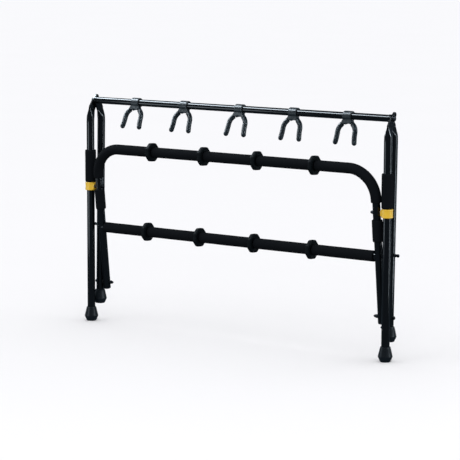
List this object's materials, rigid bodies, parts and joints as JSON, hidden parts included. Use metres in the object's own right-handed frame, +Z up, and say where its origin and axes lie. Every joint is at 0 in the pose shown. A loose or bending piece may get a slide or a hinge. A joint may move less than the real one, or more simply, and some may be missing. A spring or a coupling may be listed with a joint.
{
  "type": "folding guitar rack",
  "caption": "Folding steel-tube rack that stands a row of guitars upright: swivel neck yokes on a top bar, padded rest frame with dividers, and leg collars that slide as it opens.",
  "frame": {"origin": "on the floor, under the centre of the folded rack's box", "axes": "+X along the rack, +Z up, -Y the side the guitars face; folded, the rack is mirror-symmetric about X = 0 apart from the movable yokes, dividers and foam sleeves"},
  "size_m": [1.0388, 0.0897, 0.6549],
  "materials": {
    "black_enamel": "gloss black powder coat on steel tube",
    "black_foam": "matt black closed-cell foam sleeve with fine cells",
    "black_rubber": "satin moulded black rubber",
    "yoke_rubber": "ribbed and dimpled dark grey soft rubber",
    "yoke_plastic": "grained dark grey moulded nylon",
    "yellow_plastic": "warm yellow moulded plastic, satin gloss",
    "dark_hardware": "black zinc-plated steel fasteners",
    "black_nylon": "plain black nylon"
  },
  "bodies": {
    "front_frame": {"front_leg_left": "black_enamel", "front_leg_right": "black_enamel", "front_foot_left": "black_rubber", "front_foot_right": "black_rubber", "top_bar": "black_enamel", "bar_end_inserts": "black_nylon", "hinge_washers": "black_nylon", "hinge_bolts": "dark_hardware", "front_sleeve_left": "black_foam", "front_sleeve_right": "black_foam", "collar_stop_studs": "dark_hardware"},
    "rear_legs": {"rear_leg_left": "black_enamel", "rear_leg_right": "black_enamel", "rear_foot_left": "black_rubber", "rear_foot_right": "black_rubber", "tail_pivot_bolts": "dark_hardware", "tail_acorn_nuts": "dark_hardware", "catch_thumb_screws": "dark_hardware", "catch_buffers": "black_rubber"},
    "rest_frame": {"rest_frame_tube": "black_enamel", "cross_rail_tube": "black_enamel", "cross_rail_plugs": "black_nylon", "cross_rail_bolts": "dark_hardware", "tail_end_caps": "black_nylon", "tail_spacers": "black_nylon", "collar_pivot_spacers": "black_nylon", "collar_pivot_bolts": "dark_hardware", "collar_pivot_nuts": "dark_hardware", "top_foam_left": "black_foam", "top_foam_right": "black_foam", "top_foam_middle": "black_foam", "cross_foam": "black_foam", "top_dividers": "black_rubber", "cross_dividers": "black_rubber", "rest_sleeve_left": "black_foam", "rest_sleeve_right": "black_foam"},
    "collar_left": {"slide_collar_left": "yellow_plastic"},
    "collar_right": {"slide_collar_right": "yellow_plastic"},
    "liner_1": {"yoke_liner_1": "black_nylon"},
    "yoke_1": {"yoke_saddle_1": "yoke_plastic", "yoke_rod_1": "black_enamel", "yoke_foam_1": "yoke_rubber"},
    "liner_2": {"yoke_liner_2": "black_nylon"},
    "yoke_2": {"yoke_saddle_2": "yoke_plastic", "yoke_rod_2": "black_enamel", "yoke_foam_2": "yoke_rubber"},
    "liner_3": {"yoke_liner_3": "black_nylon"},
    "yoke_3": {"yoke_saddle_3": "yoke_plastic", "yoke_rod_3": "black_enamel", "yoke_foam_3": "yoke_rubber"},
    "liner_4": {"yoke_liner_4": "black_nylon"},
    "yoke_4": {"yoke_saddle_4": "yoke_plastic", "yoke_rod_4": "black_enamel", "yoke_foam_4": "yoke_rubber"},
    "liner_5": {"yoke_liner_5": "black_nylon"},
    "yoke_5": {"yoke_saddle_5": "yoke_plastic", "yoke_rod_5": "black_enamel", "yoke_foam_5": "yoke_rubber"}
  },
  "joints": [
    {"name": "rear_leg_fold", "type": "hinge", "parent": "front_frame", "child": "rear_legs", "pos_m": [0, 0.01452, 0.6385], "axis": [1, 0, 0], "range_deg": [0, 27.48]},
    {"name": "rest_frame_tilt", "type": "hinge", "parent": "rear_legs", "child": "rest_frame", "pos_m": [0, 0.02537, 0.112], "axis": [1, 0, 0], "range_deg": [-0.5, 71.24]},
    {"name": "collar_slide_left", "type": "slide", "parent": "front_frame", "child": "collar_left", "axis": [0, 0, -1], "range_m": [-0.0003, 0.2876]},
    {"name": "collar_slide_right", "type": "slide", "parent": "front_frame", "child": "collar_right", "axis": [0, 0, -1], "range_m": [-0.0003, 0.2876]},
    {"name": "yoke_slide_1", "type": "slide", "parent": "front_frame", "child": "liner_1", "axis": [1, 0, 0], "range_m": [-0.045, 0.045]},
    {"name": "yoke_swing_1", "type": "hinge", "parent": "liner_1", "child": "yoke_1", "pos_m": [-0.3465, 0.01452, 0.6385], "axis": [1, 0, 0], "range_deg": [-110, 15]},
    {"name": "yoke_slide_2", "type": "slide", "parent": "front_frame", "child": "liner_2", "axis": [1, 0, 0], "range_m": [-0.045, 0.045]},
    {"name": "yoke_swing_2", "type": "hinge", "parent": "liner_2", "child": "yoke_2", "pos_m": [-0.175, 0.01452, 0.6385], "axis": [1, 0, 0], "range_deg": [-110, 15]},
    {"name": "yoke_slide_3", "type": "slide", "parent": "front_frame", "child": "liner_3", "axis": [1, 0, 0], "range_m": [-0.045, 0.045]},
    {"name": "yoke_swing_3", "type": "hinge", "parent": "liner_3", "child": "yoke_3", "pos_m": [0.0135, 0.01452, 0.6385], "axis": [1, 0, 0], "range_deg": [-110, 15]},
    {"name": "yoke_slide_4", "type": "slide", "parent": "front_frame", "child": "liner_4", "axis": [1, 0, 0], "range_m": [-0.045, 0.045]},
    {"name": "yoke_swing_4", "type": "hinge", "parent": "liner_4", "child": "yoke_4", "pos_m": [0.1915, 0.01452, 0.6385], "axis": [1, 0, 0], "range_deg": [-110, 15]},
    {"name": "yoke_slide_5", "type": "slide", "parent": "front_frame", "child": "liner_5", "axis": [1, 0, 0], "range_m": [-0.045, 0.045]},
    {"name": "yoke_swing_5", "type": "hinge", "parent": "liner_5", "child": "yoke_5", "pos_m": [0.365, 0.01452, 0.6385], "axis": [1, 0, 0], "range_deg": [-110, 15]}
  ],
  "couplings": [
    {"joint": "rest_frame_tilt", "follows": "rear_leg_fold", "ratio": 2.5744},
    {"joint": "collar_slide_left", "follows": "rear_leg_fold", "m_per_rad": 0.59893},
    {"joint": "collar_slide_right", "follows": "rear_leg_fold", "m_per_rad": 0.59893}
  ]
}
